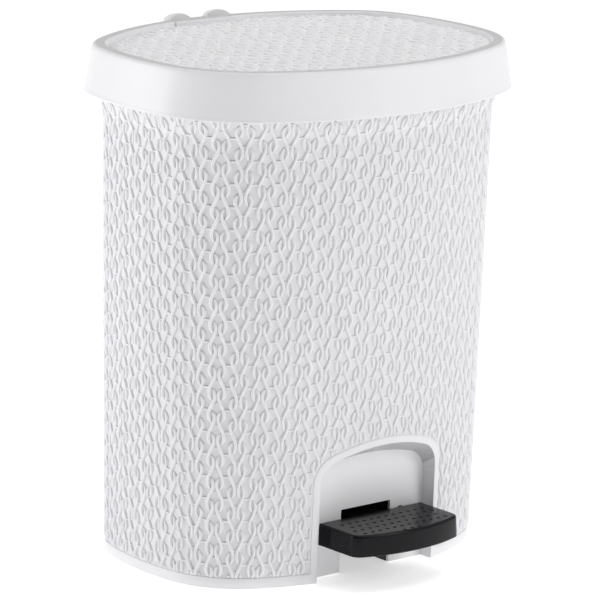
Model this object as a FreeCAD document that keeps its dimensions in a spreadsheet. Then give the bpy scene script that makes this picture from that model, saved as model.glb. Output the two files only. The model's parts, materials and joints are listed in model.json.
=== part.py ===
import FreeCAD
import Part
import Sketcher
import math
import os

# Pedal trash can: oval moulded shell, hinged lid, pedal lever, push rod and lift-out inner bucket.
# Frame: origin on the floor below the widest line of the plan, +Z up, pedal toward -Y. Millimetres.

SIZES = [
    # plan outline: eight tangent arcs, symmetric about the Y axis
    ("half_width", 138.0), ("front_reach", 100.0), ("back_reach", 110.0),
    ("front_radius", 226.0), ("side_radius", 190.0), ("back_radius", 205.0),
    ("front_corner", 66.0), ("back_corner", 45.0),
    # shell: heights and how far the outline has grown there
    ("shell_foot_z", 1.0), ("flare_z", 324.0), ("flare_mid_z", 334.0), ("flare_top_z", 343.0),
    ("rim_z", 347.0), ("foot_grow", -1.0), ("flare_grow", 5.0), ("flare_mid_grow", 7.6), ("rim_grow", 11.0),
    ("wall", 2.2), ("band_top_z", 8.5), ("band_proud", 0.7), ("ledge_z", 336.0), ("ledge_inner", 3.0),
    ("ledge_outer", 6.2), ("rim_wall", 2.0), ("notch_drop", 2.5),
    # alcove in the shell's front
    ("alcove_half", 54.6), ("alcove_top", 87.0), ("alcove_crown", 180.0), ("alcove_corner", 17.0),
    ("alcove_rise", 0.53), ("opening_top", 97.6), ("opening_crown", 127.0),
    ("panel_y", -81.6), ("border", 5.0), ("slot_half", 23.4), ("slot_top", 47.8),
    ("stud_x", 33.4), ("stud_z", 37.8), ("stud_radius", 3.9),
    # lid
    ("skirt_z", 341.0), ("skirt_grow", 19.7), ("shoulder_z", 372.0), ("shoulder_grow", 14.9),
    ("soft_z", 374.3), ("soft_grow", 13.9), ("top_z", 375.0), ("top_grow", 12.6),
    ("recess_z", 371.3), ("recess_grow", 4.6), ("lid_wall", 2.0), ("panel_under_z", 368.8),
    ("back_cut_z", 351.0), ("back_cut_half", 80.0),
    # hinge
    ("hinge_y", 121.5), ("hinge_z", 352.0), ("knuckle", 4.5), ("pin_radius", 2.0), ("pin_half", 34.5),
    ("running_fit", 0.05), ("tab_reach", 19.6), ("tab_angle", 30.0), ("tab_round", 3.0),
    ("tab_thick", 1.6), ("tab_half", 6.0),
    ("bumper_grow", 10.0), ("hump_x", 18.5), ("hump_y", 124.2), ("hump_z", 373.0),
    ("hump_length", 12.0), ("hump_depth", 8.5), ("hump_height", 5.8),
    # floor plate
    ("plate_z", 3.0), ("plate_top", 5.5), ("plate_gap", 0.3), ("channel_top", 46.0), ("channel_wall", 2.6),
    ("channel_back", -26.0), ("post_in", 24.4), ("post_out", 38.0),
    # lever
    ("axle_y", -10.0), ("axle_z", 30.0), ("axle_radius", 3.0), ("axle_half", 35.5), ("hub_radius", 9.0),
    ("arm_half", 19.0), ("arm_low", 28.0), ("arm_high", 42.0), ("rear_half", 9.0), ("rear_top", 22.0),
    ("rear_tip", 104.8),
    ("pedal_back", -86.5), ("pedal_front", -137.2), ("pedal_half", 49.0), ("pedal_low", 27.6),
    ("pedal_high", 43.4), ("pedal_bow", 130.0), ("pedal_corner", 8.0),
    # push rod
    ("rod_y", 101.0), ("rod_radius", 2.5), ("rod_low", 28.0), ("rod_high", 336.0),
    ("shoe_radius", 5.0), ("shoe_gap", 0.1), ("shoe_top", 40.0), ("cap_top", 339.05),
    ("guide_low_z", 110.0), ("guide_high_z", 290.0), ("guide_face_y", 105.0),
    # bucket
    ("bucket_front", 89.0), ("bucket_back", 100.0), ("bucket_floor", 60.0),
    ("bucket_low_grow", -12.0), ("bucket_high_grow", -5.0),
    ("bucket_wall", 2.0), ("flange_grow", 5.7), ("flange_thick", 2.5), ("lip_top", 344.0), ("lip_wall", 2.2),
    ("bail_radius", 2.0), ("bail_grow", -5.0), ("bail_bend", 3.0), ("grip_radius", 4.2),
]

doc = FreeCAD.newDocument("pedal_trash_can")
sheet = doc.addObject("Spreadsheet::Sheet", "Sizes")
for row, (alias, value) in enumerate(SIZES, 1):
    sheet.set("A%d" % row, alias)
    sheet.set("B%d" % row, str(value))
    sheet.setAlias("B%d" % row, alias)
doc.recompute()
PARTS = {}


def number(text):
    """The value of an expression, or of a plain number."""
    result = sheet.evalExpression(str(text))
    return float(getattr(result, "Value", result))


def bind(thing, prop, text):
    """Tie a property to an expression over the sheet."""
    thing.setExpression(prop, str(text))


def s(alias):
    return "Sizes." + alias


def plane(body, role):
    for feature in body.Origin.OriginFeatures:
        if feature.Role == role:
            return feature
    raise ValueError(role)


def new_body(name):
    return doc.addObject("PartDesign::Body", name)


def new_sketch(body, name, role, offset):
    """A sketch on one of the body's origin planes, moved along the plane's normal."""
    sketch = body.newObject("Sketcher::SketchObject", name)
    sketch.AttachmentSupport = [(plane(body, role), "")]
    sketch.MapMode = "FlatFace"
    bind(sketch, "AttachmentOffset.Base.z", offset)
    return sketch


def drive(sketch, constraint, label, text):
    """Add a dimension and tie it to the sheet."""
    index = sketch.addConstraint(constraint)
    sketch.renameConstraint(index, label)
    sketch.setExpression("Constraints." + label, str(text))


def pin_point(sketch, geo, pos, label, x, y):
    """Fix a point of the sketch at x, y, each an expression; the sign decides the order."""
    for axis, kind, text in ((-2, "DistanceX", x), (-1, "DistanceY", y)):
        value = number(text)
        if abs(value) < 1e-9:
            sketch.addConstraint(Sketcher.Constraint("PointOnObject", geo, pos, axis))
        elif value > 0:
            drive(sketch, Sketcher.Constraint(kind, -1, 1, geo, pos, value), label + kind, text)
        else:
            drive(sketch, Sketcher.Constraint(kind, geo, pos, -1, 1, -value), label + kind, "-(%s)" % text)


def arc(x, y, radius, start, end):
    circle = Part.Circle(FreeCAD.Vector(x, y, 0), FreeCAD.Vector(0, 0, 1), radius)
    return Part.ArcOfCircle(circle, start, end)


def meeting(c1, r1, c2, r2, up):
    """The right-hand crossing of two circles, above or below the line of their centres."""
    dx, dy = c2[0] - c1[0], c2[1] - c1[1]
    gap = math.hypot(dx, dy)
    along = (r1 * r1 - r2 * r2 + gap * gap) / (2 * gap)
    side = math.sqrt(r1 * r1 - along * along)
    options = []
    for sign in (1, -1):
        x = c1[0] + dx * along / gap - sign * dy * side / gap
        y = c1[1] + dy * along / gap + sign * dx * side / gap
        options.append((x, y))
    return max(options, key=lambda p: p[1] if up else -p[1])


SHELL_REACH = ("Sizes.front_reach", "Sizes.back_reach")
BUCKET_REACH = ("Sizes.bucket_front", "Sizes.bucket_back")


def plan_frame(reach):
    """Centres and tangent angles of the plan's arcs, for a front and a back reach."""
    front, back = reach
    front_c = (0.0, number(s("front_radius")) - number(front))
    side_c = (number(s("half_width")) - number(s("side_radius")), 0.0)
    back_c = (0.0, number(back) - number(s("back_radius")))
    r_front, r_side, r_back = (number(s(a)) for a in ("front_radius", "side_radius", "back_radius"))
    r_fc, r_bc = number(s("front_corner")), number(s("back_corner"))
    fc = meeting(front_c, r_front - r_fc, side_c, r_side - r_fc, False)
    bc = meeting(back_c, r_back - r_bc, side_c, r_side - r_bc, True)
    a1 = math.atan2(fc[1] - front_c[1], fc[0] - front_c[0])
    a2 = math.atan2(fc[1] - side_c[1], fc[0] - side_c[0])
    a3 = math.atan2(bc[1] - side_c[1], bc[0] - side_c[0])
    a4 = math.atan2(bc[1] - back_c[1], bc[0] - back_c[0])
    return front_c, side_c, back_c, fc, bc, (a1, a2, a3, a4)


def outline(body, name, height, grow, reach=SHELL_REACH):
    """One closed plan outline of eight tangent arcs, offset outward by grow."""
    sketch = new_sketch(body, name, "XY_Plane", height)
    front_c, side_c, back_c, fc, bc, (a1, a2, a3, a4) = plan_frame(reach)
    g = number(grow)
    r_front, r_side, r_back = (number(s(a)) + g for a in ("front_radius", "side_radius", "back_radius"))
    r_fc, r_bc = number(s("front_corner")) + g, number(s("back_corner")) + g
    pi = math.pi
    sketch.addGeometry([
        arc(front_c[0], front_c[1], r_front, -pi - a1, a1),
        arc(fc[0], fc[1], r_fc, a1, a2),
        arc(side_c[0], 0, r_side, a2, a3),
        arc(bc[0], bc[1], r_bc, a3, a4),
        arc(back_c[0], back_c[1], r_back, a4, pi - a4),
        arc(-bc[0], bc[1], r_bc, pi - a4, pi - a3),
        arc(-side_c[0], 0, r_side, pi - a3, pi - a2),
        arc(-fc[0], fc[1], r_fc, pi - a2, pi - a1),
    ])
    for i in range(8):
        sketch.addConstraint(Sketcher.Constraint("Tangent", i, 2, (i + 1) % 8, 1))
    names = ("front_radius", "front_corner", "side_radius", "back_corner", "back_radius", "back_corner",
             "side_radius", "front_corner")
    for i, alias in enumerate(names):
        text = "%s + (%s)" % (s(alias), grow)
        drive(sketch, Sketcher.Constraint("Radius", i, number(text)), "radius%d" % i, text)
    inward = "%s - %s" % (s("half_width"), s("side_radius"))
    pin_point(sketch, 0, 3, "front", "0", "%s - %s" % (s("front_radius"), reach[0]))
    pin_point(sketch, 4, 3, "back", "0", "%s - %s" % (reach[1], s("back_radius")))
    pin_point(sketch, 2, 3, "right", inward, "0")
    pin_point(sketch, 6, 3, "left", "-(%s)" % inward, "0")
    return sketch


def loft(name, levels, reach=SHELL_REACH):
    """A solid through plan outlines, each a (height, grow) pair, with straight sides between."""
    body = new_body(name)
    sketches = [outline(body, "%s_level%d" % (name, i), z, g, reach) for i, (z, g) in enumerate(levels)]
    feature = body.newObject("PartDesign::AdditiveLoft", name + "_loft")
    feature.Profile = sketches[0]
    feature.Sections = sketches[1:]
    feature.Ruled = True
    return body


def arch(body, name, role, offset, sizes, base, grow):
    """A flat-footed arch: straight sides, round corners and a bowed crown."""
    half, top, crown, corner = sizes
    sketch = new_sketch(body, name, role, offset)
    w, g = number(half) + number(grow), number(grow)
    big, small = number(crown), number(corner)
    crown_y = number(top) - big
    corner_x = number(half) - small
    corner_y = crown_y + math.sqrt((big - small) ** 2 - corner_x ** 2)
    tilt = math.atan2(corner_y - crown_y, corner_x)
    low = number(base)
    pi = math.pi
    point = FreeCAD.Vector
    sketch.addGeometry([
        Part.LineSegment(point(-w, low, 0), point(w, low, 0)),
        Part.LineSegment(point(w, low, 0), point(w, corner_y, 0)),
        arc(corner_x, corner_y, small + g, 0, tilt),
        arc(0, crown_y, big + g, tilt, pi - tilt),
        arc(-corner_x, corner_y, small + g, pi - tilt, pi),
        Part.LineSegment(point(-w, corner_y, 0), point(-w, low, 0)),
    ])
    sketch.addConstraint(Sketcher.Constraint("Coincident", 0, 2, 1, 1))
    for i in (1, 2, 3, 4):
        sketch.addConstraint(Sketcher.Constraint("Tangent", i, 2, i + 1, 1))
    sketch.addConstraint(Sketcher.Constraint("Coincident", 5, 2, 0, 1))
    sketch.addConstraint(Sketcher.Constraint("Vertical", 1))
    sketch.addConstraint(Sketcher.Constraint("Vertical", 5))
    for i, text in ((2, corner), (3, crown), (4, corner)):
        text = "%s + (%s)" % (text, grow)
        drive(sketch, Sketcher.Constraint("Radius", i, number(text)), "radius%d" % i, text)
    pin_point(sketch, 3, 3, "crown", "0", "%s - %s" % (top, crown))
    pin_point(sketch, 1, 1, "foot", "%s + (%s)" % (half, grow), base)
    pin_point(sketch, 0, 1, "toe", "-(%s + (%s))" % (half, grow), base)
    sketch.delConstraint(sketch.ConstraintCount - 1)
    sketch.addConstraint(Sketcher.Constraint("Horizontal", 0))
    return sketch


def pad(body, sketch, name, length):
    feature = body.newObject("PartDesign::Pad", name)
    feature.Profile = sketch
    bind(feature, "Length", length)
    return feature


def prism(name, role, points, start, end):
    """A polygon carried along the plane's world axis from start to end."""
    body = new_body(name)
    offset = "-(%s)" % end if role == "XZ_Plane" else start
    sketch = new_sketch(body, name + "_sketch", role, offset)
    count = len(points)
    corners = [FreeCAD.Vector(number(x), number(y), 0) for x, y in points]
    for i in range(count):
        sketch.addGeometry(Part.LineSegment(corners[i], corners[(i + 1) % count]))
    for i in range(count):
        sketch.addConstraint(Sketcher.Constraint("Coincident", i, 2, (i + 1) % count, 1))
    for i, (x, y) in enumerate(points):
        pin_point(sketch, i, 1, "corner%d" % i, x, y)
    pad(body, sketch, name + "_pad", "(%s) - (%s)" % (end, start))
    return body


def opening_prism(name, grow, start, end):
    """The arch of the alcove's outer edge, grown, carried along Y."""
    body = new_body(name)
    sizes = (s("alcove_half"), s("opening_top"), s("opening_crown"), s("alcove_corner"))
    sketch = arch(body, name + "_sketch", "XZ_Plane", "-(%s)" % end, sizes, "-1", grow)
    pad(body, sketch, name + "_pad", "(%s) - (%s)" % (end, start))
    return body


def alcove_loft(name, grow, start, end):
    """The alcove's room, grown: its crown rises from the panel towards the front."""
    body = new_body(name)
    ends = []
    for tag, y in (("front", start), ("back", end)):
        top = "Sizes.alcove_top + (Sizes.panel_y - (%s)) * Sizes.alcove_rise" % y
        sizes = (s("alcove_half"), top, s("alcove_crown"), s("alcove_corner"))
        ends.append(arch(body, "%s_%s" % (name, tag), "XZ_Plane", "-(%s)" % y, sizes, "-1", grow))
    feature = body.newObject("PartDesign::AdditiveLoft", name + "_loft")
    feature.Profile = ends[0]
    feature.Sections = ends[1:]
    feature.Ruled = True
    return body


def box(name, x0, x1, y0, y1, z0, z1):
    solid = doc.addObject("Part::Box", name)
    for prop, low, high in (("Length", x0, x1), ("Width", y0, y1), ("Height", z0, z1)):
        bind(solid, prop, "(%s) - (%s)" % (high, low))
    for axis, low in (("x", x0), ("y", y0), ("z", z0)):
        bind(solid, "Placement.Base." + axis, low)
    return solid


TURNS = {
    "x": FreeCAD.Rotation(FreeCAD.Vector(0, 1, 0), 90),
    "y": FreeCAD.Rotation(FreeCAD.Vector(1, 0, 0), -90),
    "z": FreeCAD.Rotation(),
}


def rod(name, axis, radius, start, end, a, b):
    """A cylinder along an axis from start to end; a and b are its other two coordinates in order."""
    solid = doc.addObject("Part::Cylinder", name)
    solid.Placement = FreeCAD.Placement(FreeCAD.Vector(), TURNS[axis])
    bind(solid, "Radius", radius)
    bind(solid, "Height", "(%s) - (%s)" % (end, start))
    base = {"x": (start, a, b), "y": (a, start, b), "z": (a, b, start)}[axis]
    for prop, text in zip("xyz", base):
        bind(solid, "Placement.Base." + prop, text)
    return solid


def fuse(name, things):
    joined = doc.addObject("Part::MultiFuse", name)
    joined.Shapes = things
    joined.Refine = True
    return joined


def cut(name, base, tools):
    """Base less every tool."""
    tool = tools[0] if len(tools) == 1 else fuse(name + "_tools", tools)
    result = doc.addObject("Part::Cut", name)
    result.Base = base
    result.Tool = tool
    return result


def common(name, first, second):
    result = doc.addObject("Part::MultiCommon", name)
    result.Shapes = [first, second]
    return result


def group(name, things):
    result = doc.addObject("Part::Compound", name)
    result.Links = things
    return result


def keep(node, thing):
    thing.Label = node
    PARTS[node] = thing


def side_name(sign):
    return "right" if sign > 0 else "left"


# ---------------------------------------------------------------- outer shell
ground = [
    (s("shell_foot_z"), s("foot_grow")),
    (s("flare_z"), s("flare_grow")),
    (s("flare_mid_z"), s("flare_mid_grow")),
    (s("flare_top_z"), s("rim_grow")),
    (s("rim_z"), s("rim_grow")),
]
slope = "(Sizes.flare_grow - Sizes.foot_grow) / (Sizes.flare_z - Sizes.shell_foot_z)"


def proud_at(height):
    """Grow of the smooth bands, flush with the tops of the knit strands."""
    return "Sizes.foot_grow + Sizes.band_proud + (%s - Sizes.shell_foot_z) * %s" % (height, slope)


shell_ground = loft("shell_ground", ground)
shell_band = loft("shell_band", [
    (s("shell_foot_z"), proud_at(s("shell_foot_z"))),
    (s("band_top_z"), proud_at(s("band_top_z"))),
])
shell_proud = loft("shell_proud", [
    (s("shell_foot_z"), proud_at(s("shell_foot_z"))),
    ("120", proud_at("120")),
])
cavity_low = loft("cavity_low", [
    ("0", "Sizes.foot_grow - Sizes.wall"),
    (s("ledge_z"), s("ledge_inner")),
])
cavity_high = loft("cavity_high", [
    (s("ledge_z"), s("ledge_outer")),
    (s("flare_top_z"), "Sizes.rim_grow - Sizes.rim_wall"),
    ("Sizes.rim_z + 1", "Sizes.rim_grow - Sizes.rim_wall"),
])
border_arch = opening_prism("border_arch", s("border"), "-140", "-40")
block_arch = alcove_loft("block_arch", s("wall"), "-140", "Sizes.panel_y + Sizes.wall")
alcove_space = alcove_loft("alcove_space", "0", "-141", s("panel_y"))

shell_border = common("shell_border", shell_proud, border_arch)
shell_skin = cut("shell_skin", fuse("shell_outside", [shell_ground, shell_band, shell_border]),
                 [cavity_low, cavity_high])
shell_block = common("shell_block", shell_proud, block_arch)

boss_spots = []
for sign in (-1, 1):
    boss_spots.append(("%d * 75" % sign,
                       "Sizes.front_radius - Sizes.front_reach - sqrt((Sizes.front_radius - 7.5)^2 - 75^2)"))
    boss_spots.append(("%d * (Sizes.half_width - 7.5)" % sign, "0"))
    boss_spots.append(("%d * 60" % sign,
                       "Sizes.back_reach - Sizes.back_radius + sqrt((Sizes.back_radius - 7.5)^2 - 60^2)"))
shell_adds = [shell_skin, shell_block]
shell_cuts = [alcove_space]
for i, (x, y) in enumerate(boss_spots):
    shell_adds.append(rod("boss%d" % i, "z", "5", s("plate_top"), "26", x, y))
    shell_cuts.append(rod("boss_hole%d" % i, "z", "1.5", "Sizes.plate_top - 0.5", "18", x, y))
guide_backs = (("low", s("guide_low_z"), "109.5"), ("high", s("guide_high_z"), "113.2"))
for tag, z, back in guide_backs:
    shell_adds.append(box("guide_pad_" + tag, "-15", "15", s("guide_face_y"), back,
                          "%s - 8" % z, "%s + 8" % z))
    for sign in (-1, 1):
        shell_cuts.append(rod("guide_pilot_%s_%s" % (tag, side_name(sign)), "y", "1.25",
                              "Sizes.guide_face_y - 0.5", "109.3", "%d * 11" % sign, z))
shell_cuts.append(box("lever_slot", "-Sizes.slot_half", s("slot_half"), "Sizes.panel_y - 1",
                      "Sizes.panel_y + Sizes.wall + 1", "-1", s("slot_top")))
shell_cuts.append(rod("stud_hole", "y", "Sizes.stud_radius + 0.3", "Sizes.panel_y - 1",
                      "Sizes.panel_y + Sizes.wall + 1", s("stud_x"), s("stud_z")))
shell_cuts.append(box("rim_notch", "-34", "34", "100", "140", "Sizes.rim_z - Sizes.notch_drop", "360"))
shell_trimmed = cut("shell_trimmed", fuse("shell_joined", shell_adds), shell_cuts)

ear_side = [
    ("118", "337"), ("124", "343.5"), ("Sizes.hinge_y + Sizes.knuckle", "347"),
    ("Sizes.hinge_y + Sizes.knuckle", s("hinge_z")), ("Sizes.hinge_y - Sizes.knuckle", s("hinge_z")),
    ("Sizes.hinge_y - Sizes.knuckle", "348.2"), ("119.5", "344.5"),
]
ears = []
for sign in (-1, 1):
    for tag, low, high in (("inner", 7.5, 12.5), ("outer", 27.5, 32.5)):
        x0, x1 = sorted((sign * low, sign * high))
        name = "ear_%s_%s" % (tag, side_name(sign))
        ears.append(prism(name, "YZ_Plane", ear_side, str(x0), str(x1)))
        ears.append(rod(name + "_eye", "x", s("knuckle"), str(x0), str(x1), s("hinge_y"), s("hinge_z")))
pin_bore = rod("pin_bore", "x", "Sizes.pin_radius + Sizes.running_fit", "-40", "40",
               s("hinge_y"), s("hinge_z"))
keep("outer_shell", cut("shell", fuse("shell_with_ears", [shell_trimmed] + ears), [pin_bore]))

# ---------------------------------------------------------------- floor plate with the lever channel
plate_grow = "Sizes.foot_grow - Sizes.wall - Sizes.plate_gap"
panel_back = "Sizes.panel_y + Sizes.wall + 0.2"
plate = loft("plate", [(s("plate_z"), plate_grow), (s("plate_top"), plate_grow)])
plate_cuts = [box("plate_alcove", "-57.6", "57.6", "-140", panel_back, "0", "10")]
plate_cuts.append(box("plate_slot", "-Sizes.slot_half", s("slot_half"), "-100", "-22", "0", "10"))
foot_spots = [("front", -92, -52), ("back", -82, 66)]
for i, (x, y) in enumerate(boss_spots):
    plate_cuts.append(rod("plate_hole%d" % i, "z", "1.9", "2", "7", x, y))
for end, x, y in foot_spots:
    for sign in (-1, 1):
        name = "foot_hole_%s_%s" % (end, side_name(sign))
        plate_cuts.append(rod(name, "z", "3", "2", "7", str(-sign * x), str(y)))
chassis_adds = [cut("plate_cut", plate, plate_cuts)]
axle_tools = []
for sign in (-1, 1):
    tag = side_name(sign)
    low = "Sizes.post_in" if sign > 0 else "-Sizes.post_out"
    high = "Sizes.post_out" if sign > 0 else "-Sizes.post_in"
    near = "Sizes.slot_half" if sign > 0 else "-(Sizes.slot_half + Sizes.channel_wall)"
    far = "Sizes.slot_half + Sizes.channel_wall" if sign > 0 else "-Sizes.slot_half"
    chassis_adds.append(box("channel_" + tag, near, far, panel_back, s("channel_back"),
                            "0.8", s("channel_top")))
    chassis_adds.append(box("post_" + tag, low, high, s("channel_back"), "6", s("plate_z"), s("axle_z")))
chassis_adds.append(box("stud_tab", "26", "38.5", panel_back, "%s + 2.4" % panel_back, "33", "45"))
stud_body = rod("stud_rod", "y", s("stud_radius"), "Sizes.panel_y - 1.6", "%s + 1" % panel_back,
                s("stud_x"), s("stud_z"))
chassis_adds.append(stud_body)
chassis_joined = fuse("chassis_joined", chassis_adds)
axle_groove = rod("axle_groove", "x", "Sizes.axle_radius + Sizes.running_fit", "-Sizes.axle_half - 0.3",
                  "Sizes.axle_half + 0.3", s("axle_y"), s("axle_z"))
cap_pilots = []
cap_holes = {-1: [], 1: []}
cap_screws = []
for sign in (-1, 1):
    for k, dy in enumerate((-10, 10)):
        tag = "%s%d" % (side_name(sign), k)
        x, y = "%d * 31.2" % sign, "Sizes.axle_y + (%d)" % dy
        cap_pilots.append(rod("cap_pilot_" + tag, "z", "1.25", "17", "Sizes.axle_z + 1", x, y))
        cap_holes[sign].append(rod("cap_hole_" + tag, "z", "1.6", "29", "40", x, y))
        cap_screws.append(fuse("cap_screw_" + tag, [
            rod("cap_screw_head_" + tag, "z", "2.7", "38", "40", x, y),
            rod("cap_screw_shank_" + tag, "z", "1.25", "18", "38.5", x, y),
        ]))
keep("base_chassis", cut("chassis", chassis_joined, [axle_groove] + cap_pilots))
keep("cap_screws", group("cap_screw_group", cap_screws))
for sign in (-1, 1):
    tag = side_name(sign)
    low, high = sorted((sign * 24.4, sign * 38.0))
    block = box("cap_block_" + tag, str(low), str(high), "-24", "4", s("axle_z"), "38")
    groove = rod("cap_groove_" + tag, "x", "Sizes.axle_radius + Sizes.running_fit", "-Sizes.axle_half - 0.3",
                 "Sizes.axle_half + 0.3", s("axle_y"), s("axle_z"))
    keep("axle_cap_" + tag, cut("cap_" + tag, block, [groove] + cap_holes[sign]))

base_screws = []
for i, (x, y) in enumerate(boss_spots):
    base_screws.append(fuse("base_screw%d" % i, [
        rod("base_screw_head%d" % i, "z", "3.2", "0.9", s("plate_z"), x, y),
        rod("base_screw_shank%d" % i, "z", "1.5", "Sizes.plate_z - 0.5", "15", x, y),
    ]))
keep("base_screws", group("base_screw_group", base_screws))
for end, x, y in foot_spots:
    for sign in (-1, 1):
        tag = "%s_%s" % (end, side_name(sign))
        keep("foot_" + tag, fuse("foot_%s_solid" % tag, [
            rod("foot_pad_" + tag, "z", "8", "0", s("plate_z"), str(-sign * x), str(y)),
            rod("foot_plug_" + tag, "z", "3", "2", "7", str(-sign * x), str(y)),
        ]))

# ---------------------------------------------------------------- rod guides
guide_screws = []
for tag, z in (("lower", s("guide_low_z")), ("upper", s("guide_high_z"))):
    flange = box("guide_flange_" + tag, "-15", "15", "Sizes.guide_face_y - 3", s("guide_face_y"),
                 "%s - 7" % z, "%s + 7" % z)
    nose = box("guide_nose_" + tag, "-5.5", "5.5", "96.8", "Sizes.guide_face_y - 2",
               "%s - 7" % z, "%s + 7" % z)
    tools = [rod("guide_bore_" + tag, "z", "Sizes.rod_radius + Sizes.running_fit", "%s - 8" % z, "%s + 8" % z,
                 "0", s("rod_y"))]
    for sign in (-1, 1):
        mark = "%s_%s" % (tag, side_name(sign))
        x = "%d * 11" % sign
        tools.append(rod("guide_hole_" + mark, "y", "1.6", "100", "106", x, z))
        guide_screws.append(fuse("guide_screw_" + mark, [
            rod("guide_screw_head_" + mark, "y", "2.5", "Sizes.guide_face_y - 5",
                "Sizes.guide_face_y - 3", x, z),
            rod("guide_screw_shank_" + mark, "y", "1.25", "Sizes.guide_face_y - 4", "109", x, z),
        ]))
    keep("rod_guide_" + tag, cut("guide_" + tag, fuse("guide_solid_" + tag, [flange, nose]), tools))
keep("guide_screws", group("guide_screw_group", guide_screws))

# ---------------------------------------------------------------- pedal lever
pedal_sizes = (s("pedal_half"), "-Sizes.pedal_front", s("pedal_bow"), s("pedal_corner"))
pedal_body = new_body("pedal")
pedal_low = arch(pedal_body, "pedal_low_edge", "XY_Plane", s("pedal_low"), pedal_sizes,
                 "-Sizes.pedal_back", "0.9")
pedal_mid = arch(pedal_body, "pedal_mid_edge", "XY_Plane", "Sizes.pedal_high - 1.5", pedal_sizes,
                 "-Sizes.pedal_back", "0")
pedal_top = arch(pedal_body, "pedal_top_edge", "XY_Plane", s("pedal_high"), pedal_sizes,
                 "-Sizes.pedal_back", "-1.2")
pedal_loft = pedal_body.newObject("PartDesign::AdditiveLoft", "pedal_loft")
pedal_loft.Profile = pedal_low
pedal_loft.Sections = [pedal_mid, pedal_top]
pedal_loft.Ruled = True
pedal_body.Placement = FreeCAD.Placement(FreeCAD.Vector(), FreeCAD.Rotation(FreeCAD.Vector(0, 0, 1), 180))
under_body = new_body("pedal_under")
under_sketch = arch(under_body, "pedal_under_edge", "XY_Plane", "Sizes.pedal_low - 1", pedal_sizes,
                    "-Sizes.pedal_back + 2.6", "-2.6")
pad(under_body, under_sketch, "pedal_under_pad", "Sizes.pedal_high - Sizes.pedal_low - 2")
under_body.Placement = FreeCAD.Placement(FreeCAD.Vector(), FreeCAD.Rotation(FreeCAD.Vector(0, 0, 1), 180))
pedal_tray = cut("pedal_tray", pedal_body, [under_body])

front_arm = cut("front_arm", box("front_arm_bar", "-Sizes.arm_half", s("arm_half"), "-104", s("axle_y"),
                                 s("arm_low"), s("arm_high")),
                [box("front_arm_hollow", "3 - Sizes.arm_half", "Sizes.arm_half - 3", "-101", "-22",
                     "Sizes.arm_low - 1", "Sizes.arm_high - 3")])
rear_side = [
    ("-6", "21.8"), ("93", "14"), (s("rear_tip"), "14"), (s("rear_tip"), s("rear_top")),
    ("93", s("rear_top")), ("-2", "37.5"), ("-10", "37.5"),
]
rear_arm = prism("rear_arm", "YZ_Plane", rear_side, "-Sizes.rear_half", s("rear_half"))
hub = rod("hub", "x", s("hub_radius"), "-Sizes.arm_half", s("arm_half"), s("axle_y"), s("axle_z"))
ribs = []
for sign in (-1, 0, 1):
    ribs.append(box("pedal_rib%d" % (sign + 1), "%d * 33 - 1.2" % sign, "%d * 33 + 1.2" % sign, "-132", "-89",
                    "Sizes.pedal_low + 3", "Sizes.pedal_high - 2"))
axle_bore = rod("axle_bore", "x", s("axle_radius"), "-20", "20", s("axle_y"), s("axle_z"))
lever_solid = fuse("lever_solid", [pedal_tray, front_arm, rear_arm, hub] + ribs)
keep("pedal_lever", cut("lever", lever_solid, [axle_bore]))
keep("lever_axle", rod("axle", "x", s("axle_radius"), "-Sizes.axle_half", s("axle_half"),
                       s("axle_y"), s("axle_z")))

# ---------------------------------------------------------------- push rod
shoe_z = "Sizes.rear_top + Sizes.shoe_gap + Sizes.shoe_radius"
keep("push_rod", rod("rod_wire", "z", s("rod_radius"), s("rod_low"), s("rod_high"), "0", s("rod_y")))
shoe = fuse("shoe_solid", [
    rod("shoe_round", "x", s("shoe_radius"), "-7", "7", s("rod_y"), shoe_z),
    box("shoe_block", "-7", "7", "Sizes.rod_y - Sizes.shoe_radius", "Sizes.rod_y + Sizes.shoe_radius",
        shoe_z, s("shoe_top")),
])
shoe_bore = rod("shoe_bore", "z", s("rod_radius"), s("rod_low"), "41", "0", s("rod_y"))
keep("rod_foot", cut("shoe", shoe, [shoe_bore]))
keep("rod_cap", cut("cap", box("cap_block", "-6", "6", "97.5", "107.5", "331", s("cap_top")),
                    [rod("cap_bore", "z", s("rod_radius"), "330", s("rod_high"), "0", s("rod_y"))]))

# ---------------------------------------------------------------- lid
lid_outside = loft("lid_outside", [
    (s("skirt_z"), s("skirt_grow")),
    (s("shoulder_z"), s("shoulder_grow")),
    (s("soft_z"), s("soft_grow")),
    (s("top_z"), s("top_grow")),
])
lid_inside = loft("lid_inside", [
    ("Sizes.skirt_z - 1", "Sizes.skirt_grow - Sizes.lid_wall + 0.15"),
    (s("panel_under_z"), "Sizes.shoulder_grow - Sizes.lid_wall + 0.5"),
])
lid_recess = loft("lid_recess", [
    (s("recess_z"), "Sizes.recess_grow - 0.8"),
    ("Sizes.top_z + 1", "Sizes.recess_grow + 0.2"),
])
ring_outer = loft("ring_outer", [("Sizes.panel_under_z - 1", "12.6"), ("Sizes.top_z - 2.5", "12.0")])
ring_inner = loft("ring_inner", [("Sizes.panel_under_z - 1", "6.6"), ("Sizes.top_z - 2.5", "6.8")])
ring_hollow = cut("ring_hollow", ring_outer, [ring_inner])
back_cut = box("back_cut", "-Sizes.back_cut_half", s("back_cut_half"), "60", "150", "330", s("back_cut_z"))
hinge_window = box("hinge_window", "-34.2", "34.2", "112", "150", "330", "358")
hinge_fill = common("hinge_fill", lid_outside, box("hinge_fill_box", "-30", "30", "108", "122",
                                                   "Sizes.recess_z - 1", "Sizes.top_z + 1"))
lid_shell = cut("lid_shell", lid_outside, [lid_inside, lid_recess, ring_hollow, back_cut, hinge_window])
lid_adds = [lid_shell, hinge_fill]
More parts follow.
